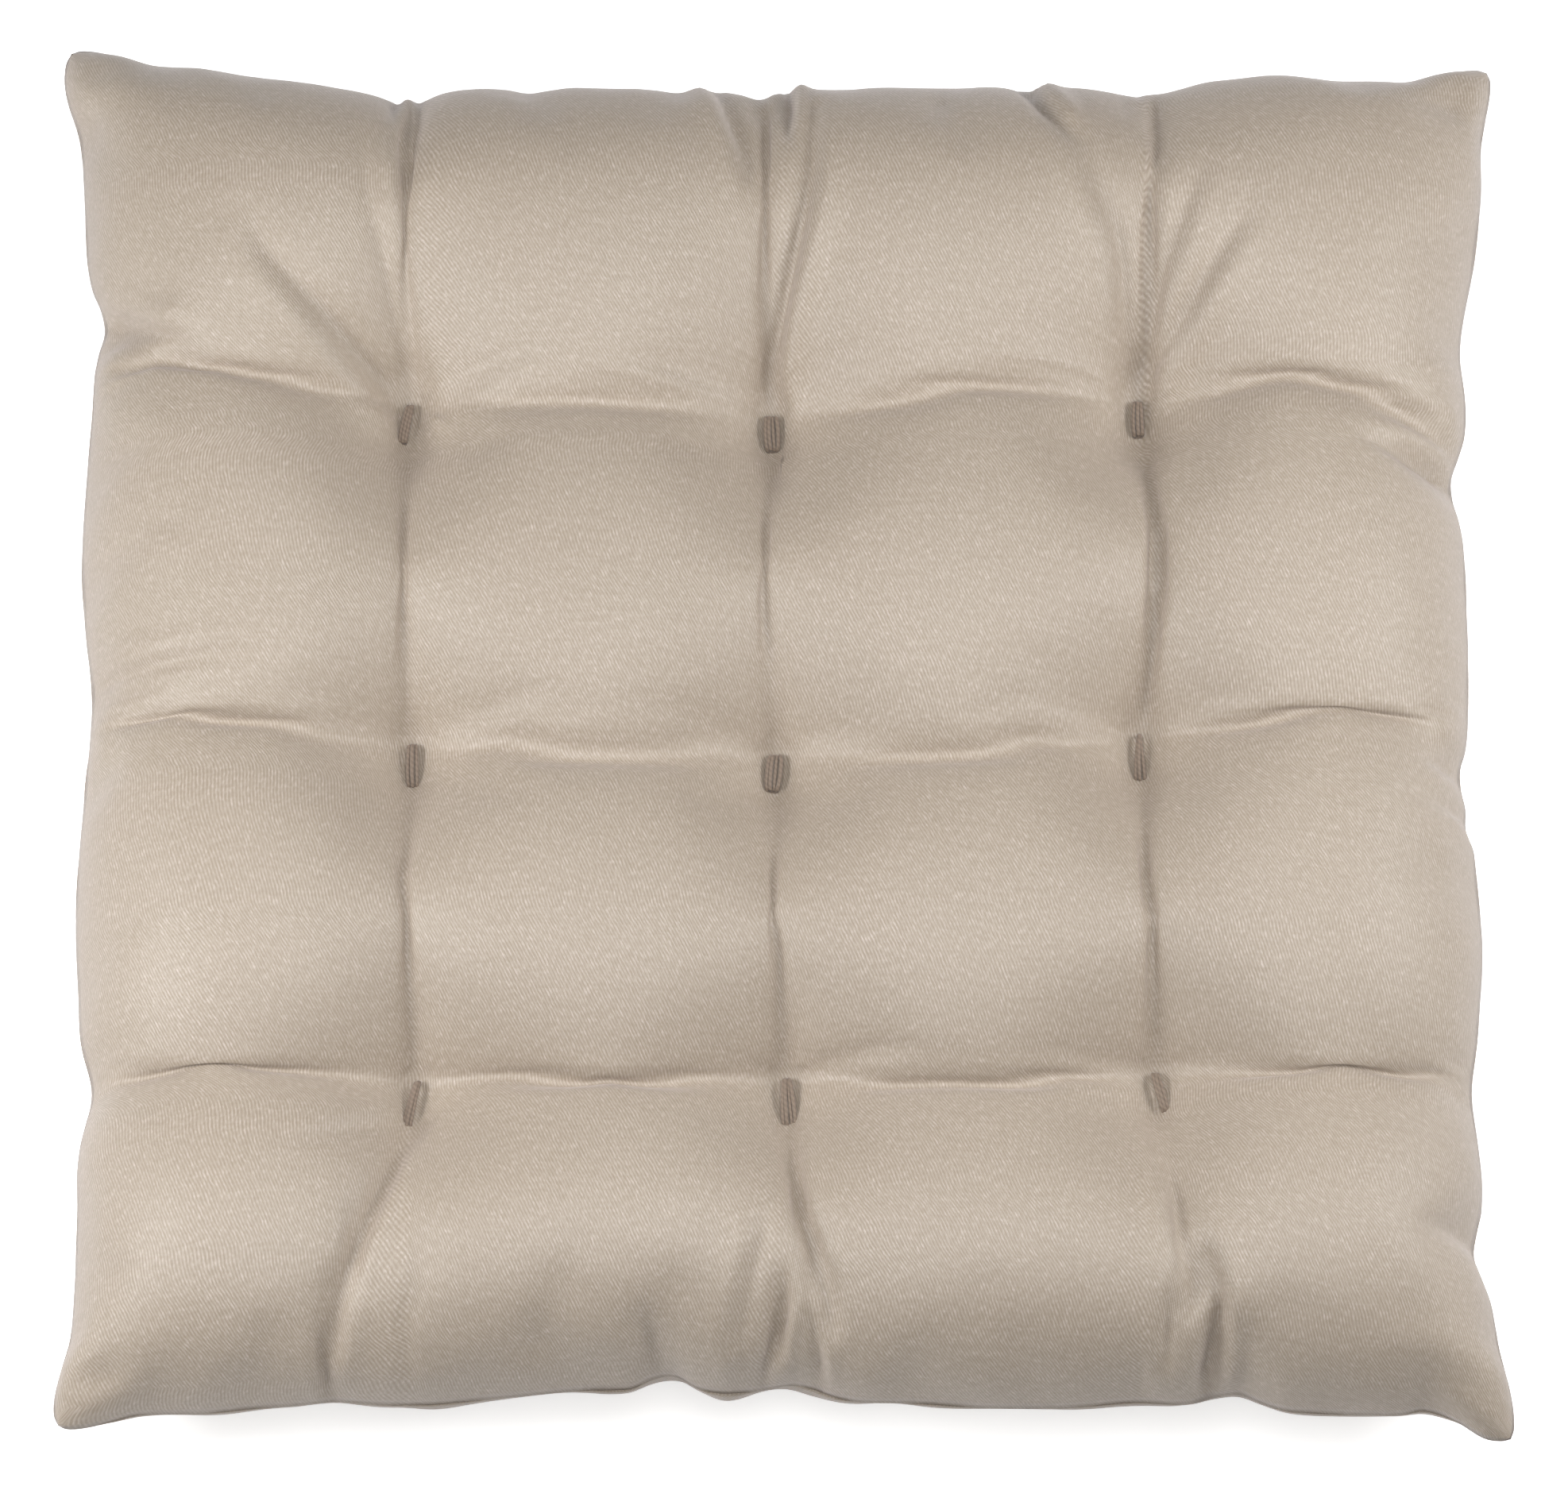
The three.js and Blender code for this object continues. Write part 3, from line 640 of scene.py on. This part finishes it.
def set_cloth_coordinates(piece, points, offset):
    """Stores where each point lay on the flat cloth, so that the weave follows the folds.

    The offset takes the two panels from different places on the cloth.
    """
    n = points.shape[0] - 1
    flat = np.zeros_like(points)
    for axis, across in ((0, 1), (1, 0)):
        steps = np.linalg.norm(np.diff(points, axis=across), axis=-1)
        run = np.cumsum(steps, axis=across)
        run = np.concatenate([np.zeros_like(np.take(run, [0], across)), run], across)
        flat[..., axis] = run - np.take(run, [n // 2], across)
    ring = rim_path(flat)
    rows = [flat.reshape(-1, 3)] + [ring * (1 - inset / HALF_X) for inset in ALLOWANCE_RINGS]
    layer = piece.data.attributes.new("cloth", "FLOAT_VECTOR", "POINT")
    layer.data.foreach_set("vector", (np.concatenate(rows) + [offset, 0, 0]).ravel())


def set_crease_shade(piece, crease_shade):
    """Stores how deep each point lies in a fold, as the amount of painted shade that darkens the
    cloth there.
    """
    count = len(piece.data.vertices)
    layer = piece.data.attributes.new("crease", "FLOAT", "POINT")
    layer.data.foreach_set("value", np.concatenate([crease_shade.ravel(), np.zeros(count - crease_shade.size)]))


def tube(path, radius, sides=8, closed=False):
    """Points and faces of a round tube along a path."""
    path = np.asarray(path, float)
    if closed:
        forward = np.roll(path, -1, 0) - np.roll(path, 1, 0)
    else:
        forward = np.gradient(path, axis=0)
    forward /= np.linalg.norm(forward, axis=1, keepdims=True)
    up = np.tile([0.0, 0.0, 1.0], (len(path), 1))
    steep = np.abs(forward[:, 2]) > 0.95
    up[steep] = [0, 1, 0]
    side = np.cross(forward, up)
    side /= np.linalg.norm(side, axis=1, keepdims=True)
    up = np.cross(side, forward)
    angle = np.linspace(0, 2 * math.pi, sides, endpoint=False)
    ring = (np.cos(angle)[None, :, None] * side[:, None]
            + np.sin(angle)[None, :, None] * up[:, None])
    points = path[:, None] + radius * ring
    count = len(path)
    index = np.arange(count * sides).reshape(count, sides)
    nxt = np.roll(index, -1, 0) if closed else index[1:]
    cur = index if closed else index[:-1]
    faces = np.stack([cur, np.roll(cur, -1, 1), np.roll(nxt, -1, 1), nxt], -1).reshape(-1, 4)
    faces = faces.tolist()
    if not closed:
        faces += [index[0][::-1].tolist(), index[-1].tolist()]
    return points.reshape(-1, 3), faces


def merge(parts):
    """Several pairs of points and faces as one pair."""
    points, faces = [], []
    for part_points, part_faces in parts:
        first = sum(map(len, points))
        points.append(part_points)
        faces += [[first + k for k in face] for face in part_faces]
    return np.concatenate(points), faces


# -------------------------------------------------------------------------------- materials

def new_material(name):
    material = bpy.data.materials.new(name)
    material.use_nodes = True
    material.node_tree.nodes.clear()
    return material, material.node_tree


class Graph:
    """Short calls for building a node tree."""

    def __init__(self, tree):
        self.tree = tree

    def node(self, kind, inputs=None, **settings):
        made = self.tree.nodes.new(kind)
        for key, value in settings.items():
            setattr(made, key, value)
        for key, value in (inputs or {}).items():
            self.feed(made.inputs[key], value)
        return made

    def feed(self, socket, value):
        if isinstance(value, bpy.types.NodeSocket):
            self.tree.links.new(value, socket)
        else:
            socket.default_value = value

    def math(self, operation, a, b=0.0):
        return self.node("ShaderNodeMath", {0: a, 1: b}, operation=operation).outputs[0]

    def mix(self, factor, a, b, blend="MIX"):
        made = self.node("ShaderNodeMix", data_type="RGBA", blend_type=blend)
        self.feed(made.inputs[0], factor)
        self.feed(made.inputs[6], a)
        self.feed(made.inputs[7], b)
        return made.outputs[2]

    def noise(self, vector, scale, detail=2.0, rough=0.5):
        made = self.node("ShaderNodeTexNoise", {"Vector": vector, "Scale": scale,
                                                "Detail": detail, "Roughness": rough})
        return made.outputs["Fac"]

    def stretch(self, vector, x, y, z=1.0):
        made = self.node("ShaderNodeVectorMath", {0: vector, 1: (x, y, z)}, operation="MULTIPLY")
        return made.outputs[0]

    def remap(self, value, low, high, to_low, to_high):
        made = self.node("ShaderNodeMapRange", {"Value": value, "From Min": low, "From Max": high,
                                                "To Min": to_low, "To Max": to_high})
        return made.outputs[0]


    def wave(self, value, pitch):
        return self.math("SINE", self.math("MULTIPLY", value, 2 * math.pi / pitch))

    def height(self, value):
        """From -1 to 1 into 0 to 1."""
        return self.math("MULTIPLY", self.math("ADD", value, 1.0), 0.5)

    def blend(self, a, share_a, b, share_b):
        return self.math("ADD", self.math("MULTIPLY", a, share_a), self.math("MULTIPLY", b, share_b))

    def output(self, surface):
        self.node("ShaderNodeOutputMaterial", {"Surface": surface.outputs[0]})


def srgb(r, g, b):
    def linear(c):
        c /= 255
        return c / 12.92 if c <= 0.04045 else ((c + 0.055) / 1.055) ** 2.4
    return (linear(r), linear(g), linear(b), 1.0)


TWILL_PITCH = 0.00087   # across the diagonal lines
FLOAT_PITCH = 0.00062   # between the yarn crossings along a line
TWILL_COS = 0.906       # of the twill lines' angle to the rear direction
TWILL_SIN = 0.423
TWILL_COLOUR = srgb(177, 165, 150)
# the colour of the painted shade in deep folds and creases
CREASE_SHADE_COLOUR = srgb(112, 99, 86)
# darker tone: painted shade in the sunken parts of the weave, and the colour of darker patches at
# random
TWILL_SHADE = srgb(134, 119, 101)
TWILL_GLINT = srgb(221, 209, 203)


def twill_material():
    """Sateen twill: diagonal floats with a soft sheen, uneven yarns and a fine nap."""
    material, tree = new_material("sateen twill")
    g = Graph(tree)
    cloth = g.node("ShaderNodeAttribute", attribute_name="cloth").outputs["Vector"]
    axes = g.node("ShaderNodeSeparateXYZ", {0: cloth})
    x, y = axes.outputs[0], axes.outputs[1]
    wobble = g.math("MULTIPLY", g.noise(cloth, 260.0), 0.0004)
    across = g.math("ADD", g.blend(x, TWILL_COS, y, TWILL_SIN), wobble)
    along = g.blend(x, TWILL_SIN, y, -TWILL_COS)
    rib_height = g.height(g.wave(across, TWILL_PITCH))
    crossing = g.blend(along, 2 * math.pi / FLOAT_PITCH, across, 2 * math.pi / TWILL_PITCH)
    weave = g.blend(rib_height, 0.75, g.height(g.math("SINE", crossing)), 0.25)

    twill_place = g.node("ShaderNodeCombineXYZ", {0: across, 1: along}).outputs[0]
    floats = g.noise(g.stretch(twill_place, 1900.0, 520.0), 1.0, 2.0, 0.6)
    patches = g.noise(cloth, 420.0, 3.0, 0.6)
    slubs = g.noise(g.stretch(cloth, 60.0, 1300.0), 1.0, 2.0)
    grain = g.noise(cloth, 1300.0, 2.0, 0.6)
    cloud = g.noise(cloth, 14.0, 3.0)

    # Painted shade: the sunken parts of the weave are coloured darker
    sunken = g.math("MULTIPLY", g.math("SUBTRACT", 1.0, weave), 0.66)
    colour = g.mix(sunken, TWILL_COLOUR, TWILL_SHADE)
    colour = g.mix(g.remap(slubs, 0.35, 0.75, 0.0, 0.08), colour, TWILL_GLINT)
    patchy = g.remap(patches, 0.30, 0.68, 0.40, 1.0)
    glints = g.math("MULTIPLY", g.remap(floats, 0.44, 0.74, 0.0, 0.80), patchy)
    raised = g.remap(weave, 0.2, 0.8, 0.35, 0.85)
    colour = g.mix(g.math("MULTIPLY", glints, raised), colour, TWILL_GLINT)
    colour = g.mix(g.remap(patches, 0.35, 0.75, 0.16, 0.0), colour, TWILL_SHADE)
    colour = g.mix(g.remap(cloud, 0.3, 0.8, 0.0, 0.14), colour, TWILL_SHADE)
    # Painted shade: the cloth is coloured darker along deep folds and creases
    crease = g.node("ShaderNodeAttribute", attribute_name="crease").outputs["Fac"]
    colour = g.mix(g.math("MULTIPLY", crease, 0.26), colour, CREASE_SHADE_COLOUR)

    height = g.blend(g.blend(weave, 0.8, floats, 0.8), 1.0, slubs, 0.2)
    fine = g.node("ShaderNodeBump", {"Strength": 0.36, "Distance": 0.00022, "Height": height})
    crumple = g.noise(cloth, 75.0, 3.0)
    normal = g.node("ShaderNodeBump", {"Strength": 0.35, "Distance": 0.0008, "Height": crumple,
                                       "Normal": fine.outputs[0]}).outputs[0]
    surface = g.node("ShaderNodeBsdfPrincipled", {
        "Base Color": colour,
        "Roughness": g.remap(grain, 0.3, 0.7, 0.56, 0.42),
        "Specular IOR Level": 0.60,
        "Sheen Weight": 0.35,
        "Sheen Roughness": 0.45,
        "Sheen Tint": srgb(236, 228, 232),
        "Normal": normal,
    })
    g.output(surface)
    return material


def thread_material(name, light, dark, twist):
    """Twisted thread: dark lines wind round it."""
    material, tree = new_material(name)
    g = Graph(tree)
    place = g.node("ShaderNodeTexCoord").outputs["Object"]
    axes = g.node("ShaderNodeSeparateXYZ", {0: place})
    lean = g.blend(g.blend(axes.outputs[1], 1.0, axes.outputs[0], 0.8), 1.0, axes.outputs[2], 0.6)
    ply_height = g.height(g.wave(lean, twist))
    fuzz = g.noise(place, 2600.0, 3.0, 0.7)
    colour = g.mix(g.blend(ply_height, 0.30, fuzz, 0.55), dark, light)
    height = g.blend(ply_height, 0.6, fuzz, 0.6)
    normal = g.node("ShaderNodeBump", {"Strength": 0.45, "Distance": 0.00012, "Height": height})
    surface = g.node("ShaderNodeBsdfPrincipled", {
        "Base Color": colour, "Roughness": 0.6, "Specular IOR Level": 0.35,
        "Sheen Weight": 0.3, "Normal": normal.outputs[0]})
    g.output(surface)
    return material


def fibre_material():
    """Loose white polyester fibre."""
    material, tree = new_material("polyester fibre")
    g = Graph(tree)
    place = g.node("ShaderNodeTexCoord").outputs["Object"]
    strands = g.noise(g.stretch(place, 300.0, 900.0, 900.0), 1.0, 5.0, 0.7)
    colour = g.mix(strands, srgb(226, 223, 216), srgb(248, 247, 243))
    normal = g.node("ShaderNodeBump", {"Strength": 0.8, "Distance": 0.001, "Height": strands})
    surface = g.node("ShaderNodeBsdfPrincipled", {
        "Base Color": colour, "Roughness": 0.9, "Sheen Weight": 0.5, "Normal": normal.outputs[0]})
    g.output(surface)
    return material


# ------------------------------------------------------------------------------ tuft threads

# For each tuft: how far the bar's front end swings to the right, how wide the bar is at its rear
# and front ends, its length, and how many strands show
BARS = {
    "rear_left": dict(swing=-0.0022, rear=0.0027, front=0.0022, length=0.0112, strands=3),
    "rear_centre": dict(swing=0.0004, rear=0.0044, front=0.0036, length=0.0100, strands=4),
    "rear_right": dict(swing=0.0002, rear=0.0036, front=0.0034, length=0.0100, strands=3),
    "middle_left": dict(swing=0.0002, rear=0.0036, front=0.0032, length=0.0124, strands=3),
    "middle_centre": dict(swing=-0.0010, rear=0.0050, front=0.0038, length=0.0102, strands=4),
    "middle_right": dict(swing=0.0002, rear=0.0012, front=0.0034, length=0.0136, strands=3),
    "front_left": dict(swing=-0.0031, rear=0.0022, front=0.0027, length=0.0136, strands=3),
    "front_centre": dict(swing=0.0008, rear=0.0029, front=0.0040, length=0.0140, strands=4),
    "front_right": dict(swing=0.0030, rear=0.0030, front=0.0020, length=0.0113, strands=3),
}

# Along a strand from its rear hole to its front hole: how far along the bar it is, its height over
# the cloth, and how widely the strands spread there
STRAND_STEP = np.array([0.03, 0.01, 0.05, 0.22, 0.5, 0.78, 0.95, 1.0, 0.97])
STRAND_RISE = np.array([-45, -12, 6, 10, 11, 10, 6, -12, -45]) * 0.0001
STRAND_SPREAD = np.array([0.35, 0.6, 0.9, 1.05, 1.1, 1.05, 0.95, 0.7, 0.4])
STRAND_RADIUS = 0.00056
LEG_RADIUS = 0.0010
LEG_FROM_REAR = 0.0005  # from the bar's rear end to the rear leg
BAR_OVER_TOP = 0.0011   # from the cloth to the strands
BAR_UNDER_BOTTOM = 0.0006


def strand_path(tuft, bar, place, z, side, layer):
    """One strand of a bar: out of the rear hole, along the cloth, and down at the front."""
    _, tx, ty = tuft
    width = bar["rear"] + (bar["front"] - bar["rear"]) * STRAND_STEP
    x = tx + bar["swing"] * STRAND_STEP + (place - 0.5) * width * STRAND_SPREAD
    y = ty - bar["length"] * STRAND_STEP
    height = z + side * (STRAND_RISE + layer)
    return smooth_line(np.stack([x, y, height], -1), 4)


def cloth_height(points, tuft):
    """Height of a panel beside the middle of a tuft's bar."""
    _, tx, ty = tuft
    away = np.hypot(points[..., 0] - tx, points[..., 1] - ty + BAR_LENGTH / 2)
    weight = bump(away, 0.0025)
    return (points[..., 2] * weight).sum() / weight.sum()


def tuft_strands(tuft, bar, seed):
    """Points and faces of one tuft: its bars on top and below, and two legs between them."""
    rng = np.random.default_rng(seed)
    parts = []
    above = cloth_height(top_points, tuft)
    below = cloth_height(bottom_points, tuft)
    for side, z in ((1, above + BAR_OVER_TOP), (-1, below - BAR_UNDER_BOTTOM)):
        for k in range(bar["strands"]):
            place = (k + 0.5) / bar["strands"] + rng.uniform(-0.04, 0.04)
            layer = 0.0004 * (k % 2) + rng.uniform(-0.0001, 0.0002)
            path = strand_path(tuft, bar, place, z, side, layer)
            path[:, 0] += 0.00018 * np.sin(np.linspace(0, 2.2 * math.pi, len(path)) + k)
            parts.append(tube(path, STRAND_RADIUS))
    _, tx, ty = tuft
    for x, y in ((tx, ty - LEG_FROM_REAR), (tx + bar["swing"], ty - bar["length"] * 0.97)):
        heights = (below + BAR_UNDER_BOTTOM, (below + above) / 2, above - LEG_RADIUS)
        parts.append(tube([(x, y, z) for z in heights], LEG_RADIUS))
    return merge(parts)


# ---------------------------------------------------------------------------- the pad's pieces

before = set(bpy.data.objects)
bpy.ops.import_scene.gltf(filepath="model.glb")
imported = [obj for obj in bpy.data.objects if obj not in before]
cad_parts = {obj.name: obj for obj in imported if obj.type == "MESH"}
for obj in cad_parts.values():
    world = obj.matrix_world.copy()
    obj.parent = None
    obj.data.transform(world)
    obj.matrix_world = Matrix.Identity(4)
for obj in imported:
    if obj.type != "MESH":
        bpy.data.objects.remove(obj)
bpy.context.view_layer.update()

top_points, bottom_points, crease_shade = shape_panels()
lowest = bottom_points[..., 2].min()
top_points[..., 2] -= lowest
bottom_points[..., 2] -= lowest
seam = (rim_path(top_points) + rim_path(bottom_points)) / 2

twill = twill_material()
tuft_thread = thread_material("tufting thread", srgb(152, 136, 121), srgb(104, 89, 77), 0.0016)
seam_thread = thread_material("sewing thread", srgb(203, 192, 176), srgb(160, 146, 128), 0.0006)
fibre = fibre_material()


def finish_piece(piece, material, node):
    """Gives a piece its material and its body in the frame, and hides the CAD part that node names.
    """
    piece.data.materials.append(material)
    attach(piece, "root")
    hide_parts(node)


cover_top = panel("cover_top_panel", top_points, 1)
set_cloth_coordinates(cover_top, top_points, 0.0)
set_crease_shade(cover_top, crease_shade)
finish_piece(cover_top, twill, "top_panel")

cover_bottom = panel("cover_bottom_panel", bottom_points, -1)
set_cloth_coordinates(cover_bottom, bottom_points, 0.6)
finish_piece(cover_bottom, twill, "bottom_panel")


def drawn_in(points, side):
    """A face of the filling: under the cloth everywhere, even where a crease dips."""
    z = points[..., 2] * side
    for _ in range(4):
        low = z.copy()
        low[1:] = np.minimum(low[1:], z[:-1])
        low[:-1] = np.minimum(low[:-1], z[1:])
        low[:, 1:] = np.minimum(low[:, 1:], z[:, :-1])
        low[:, :-1] = np.minimum(low[:, :-1], z[:, 1:])
        z = low
    face = points.copy()
    near_bar = nearest_bar(points[..., 0], points[..., 1])
    z = z - FILLING_DIMPLE * bump(near_bar, FILLING_DIMPLE_WIDTH)
    face[..., 2] = (z - SKIN) * side
    face = face[::FINE, ::FINE]
    line = lattice_line(CELLS)
    out = np.maximum(*np.abs(np.meshgrid(line, line)))
    face[..., :2] *= (1 - FILLING_INSET / HALF_X * out ** 8)[..., None]
    return face


def filling():
    """The fibre mass: both faces drawn in from the cloth, joined by a lip behind the seam."""
    top = drawn_in(top_points, 1)
    bottom = drawn_in(bottom_points, -1)
    middle = (top[..., 2] + bottom[..., 2]) / 2
    top[..., 2] = np.maximum(top[..., 2], middle + FILLING_LIP)
    bottom[..., 2] = np.minimum(bottom[..., 2], middle - FILLING_LIP)
    n = top.shape[0] - 1
    index = np.arange((n + 1) ** 2).reshape(n + 1, n + 1)
    rim = rim_indices(n)
    count = index.size
    wall = np.stack([rim + count, np.roll(rim, -1) + count, np.roll(rim, -1), rim], -1)
    faces = np.concatenate([lattice_faces(index, False), lattice_faces(index + count, True), wall])
    return add_mesh("fibre_mass", np.concatenate([top.reshape(-1, 3), bottom.reshape(-1, 3)]), faces)


fill = filling()
finish_piece(fill, fibre, "fibre_filling")

for seed, tuft in enumerate(TUFTS):
    bar = add_mesh("tuft_strands_" + tuft[0], *tuft_strands(tuft, BARS[tuft[0]], 11 + seed))
    finish_piece(bar, tuft_thread, "tuft_thread_" + tuft[0])


RING_THREAD_RADIUS = 0.0003

# The threads that run round inside the seam: piece, inset from the seam, height over it, CAD node
for name, inset, rise, node in (
    ("lockstitch_needle_thread", LOCKSTITCH_INSET, LOCKSTITCH_RISE, "seam_needle_thread"),
    ("lockstitch_bobbin_thread", LOCKSTITCH_INSET, -LOCKSTITCH_RISE, "seam_bobbin_thread"),
    ("edge_overlock_thread", OVERLOCK_INSET, 0.0, "overlock_thread"),
):
    ring = seam[::2] * [1 - inset / HALF_X, 1 - inset / HALF_Y, 1] + [0, 0, rise]
    ring_thread = add_mesh(name, *tube(ring, RING_THREAD_RADIUS, 6, closed=True))
    finish_piece(ring_thread, seam_thread, node)


CLOSING_FROM = -0.105   # x of the first closing stitch
CLOSING_TO = 0.066
CLOSING_THREAD_RADIUS = 0.00022

# A closing stitch, point by point: the shift along the seam, where along it the ridge is measured,
# and the place inwards from and above the ridge
CLOSING_STITCH = [
    (0.0, 0.0, 0.0018, 0.0009),
    (0.0004, 0.0, 0.0008, 0.0008),
    (0.0012, 0.0012, 0.0003, 0.0),
    (0.0020, 0.0024, 0.0008, -0.0008),
    (0.0024, 0.0024, 0.0018, -0.0009),
]


def closing_stitches():
    """Small slanting stitches over the ridge of the front seam."""
    front = seam[: CELLS * FINE + 1]
    parts = []
    x = CLOSING_FROM
    while x < CLOSING_TO:
        path = []
        for shift, ridge_at, inwards, rise in CLOSING_STITCH:
            y = np.interp(x + ridge_at, front[:, 0], front[:, 1])
            z = np.interp(x + ridge_at, front[:, 0], front[:, 2])
            path.append((x + shift, y + inwards, z + rise))
        x += 0.0052 + 0.0006 * math.sin(3.1 * len(parts))
        parts.append(tube(path, CLOSING_THREAD_RADIUS, 6))
    piece = add_mesh("closing_stitches", *merge(parts))
    finish_piece(piece, seam_thread, "closing_seam_thread")


closing_stitches()

# ------------------------------------------------------------------------- floor, light, camera

def plain_material(name, colour, rough, glow):
    """A plain surface that looks `glow` brighter to the camera, and lights nothing."""
    material, tree = new_material(name)
    g = Graph(tree)
    seen = g.node("ShaderNodeLightPath").outputs["Is Camera Ray"]
    surface = g.node("ShaderNodeBsdfPrincipled", {
        "Base Color": colour, "Roughness": rough, "Specular IOR Level": 0.1,
        "Emission Color": (1, 1, 1, 1), "Emission Strength": g.math("MULTIPLY", seen, glow)})
    g.output(surface)
    return material


FLOOR_HALF = 4
FLOOR_Z = -0.0002
CORNERS = ((-1, -1), (1, -1), (1, 1), (-1, 1))
floor_corners = [(x * FLOOR_HALF, y * FLOOR_HALF, FLOOR_Z) for x, y in CORNERS]
floor = add_mesh("floor", floor_corners, [(0, 1, 2, 3)], smooth=False)
floor.data.materials.append(plain_material("lit white floor", (0.90, 0.90, 0.90, 1), 0.9, 0.60))

world = bpy.data.worlds.new("studio")
bpy.context.scene.world = world
world.use_nodes = True
background = world.node_tree.nodes["Background"]
background.inputs[0].default_value = (1.0, 0.99, 1.0, 1)
background.inputs[1].default_value = 0.05

LAMP_AIM = (0, 0, 0.05)

# The lamps: name, place, size, power in watts
SOFTBOXES = [
    ("overhead softbox", (0.0, 0.0, 1.30), (0.6, 0.6), 7.0),
    ("rear softbox", (0.0, 0.5, 1.00), (0.5, 0.5), 1.2),
    ("front softbox", (0.0, -0.5, 1.00), (0.5, 0.5), 3.1),
    ("left panel", (-0.6, -0.1, 0.42), (0.4, 0.3), 3.3),
    ("right panel", (0.6, 0.05, 0.42), (0.4, 0.3), 2.8),
]


def softbox(name, place, size, power):
    """A rectangular lamp that faces the pad."""
    data = bpy.data.lights.new(name, "AREA")
    data.shape = "RECTANGLE"
    data.size, data.size_y = size
    data.energy = power
    lamp = bpy.data.objects.new(name, data)
    lamp.location = place
    away = np.array(place) - np.array(LAMP_AIM)
    yaw = math.atan2(away[1], away[0]) + math.pi / 2
    pitch = math.atan2(math.hypot(away[0], away[1]), away[2])
    lamp.rotation_euler = (pitch, 0, yaw)
    bpy.context.scene.collection.objects.link(lamp)


for lamp_values in SOFTBOXES:
    softbox(*lamp_values)

CAMERA_ELEVATION = math.radians(70)
CAMERA_DISTANCE = 4.0
SENSOR_WIDTH = 36
VIEW_WIDTH = 0.4353     # of the picture, where the camera aims
AIM = (0.002, -0.0025, SEAM_Z)

camera_data = bpy.data.cameras.new("camera")
camera_data.sensor_width = SENSOR_WIDTH
camera_data.sensor_fit = "HORIZONTAL"
camera_data.lens = SENSOR_WIDTH * CAMERA_DISTANCE / VIEW_WIDTH
camera_data.clip_end = 50
camera = bpy.data.objects.new("camera", camera_data)
camera.location = (AIM[0], AIM[1] - CAMERA_DISTANCE * math.cos(CAMERA_ELEVATION),
                   AIM[2] + CAMERA_DISTANCE * math.sin(CAMERA_ELEVATION))
camera.rotation_euler = (math.pi / 2 - CAMERA_ELEVATION, 0, 0)
bpy.context.scene.collection.objects.link(camera)
bpy.context.scene.camera = camera
view = bpy.context.scene.view_settings
view.view_transform = "Standard"
view.look = "None"
view.exposure = 0
view.gamma = 1
